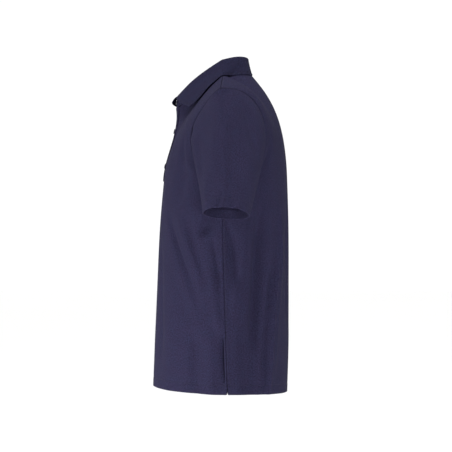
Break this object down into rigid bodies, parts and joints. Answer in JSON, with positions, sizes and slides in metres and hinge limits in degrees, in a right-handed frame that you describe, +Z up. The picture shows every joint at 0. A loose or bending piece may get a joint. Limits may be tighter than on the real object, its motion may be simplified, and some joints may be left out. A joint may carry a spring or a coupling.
{
  "type": "short-sleeved polo shirt",
  "caption": "Short-sleeved polo shirt with a turned-down collar, buttoned placket, hemmed sleeves and side vents, in the hollow form it has when worn.",
  "frame": {"origin": "on the middle plane between the inner ends of the shoulder seams, where the wearer's shoulders or a hanger hold the shirt up", "axes": "+Z up, -Y the way the front faces, +X the wearer's left"},
  "size_m": [0.6516, 0.2976, 0.7305],
  "materials": {
    "pique_knit": "piece-dyed navy cotton pique",
    "button": "turned polyester, semi-gloss"
  },
  "bodies": {
    "root": {"front": "pique_knit", "back": "pique_knit", "sleeve_left": "pique_knit", "sleeve_right": "pique_knit", "collar_stand": "pique_knit", "collar_leaf": "pique_knit", "placket_upper": "pique_knit", "placket_under": "pique_knit", "button_top": "button", "button_middle": "button", "button_low": "button"}
  },
  "joints": []
}
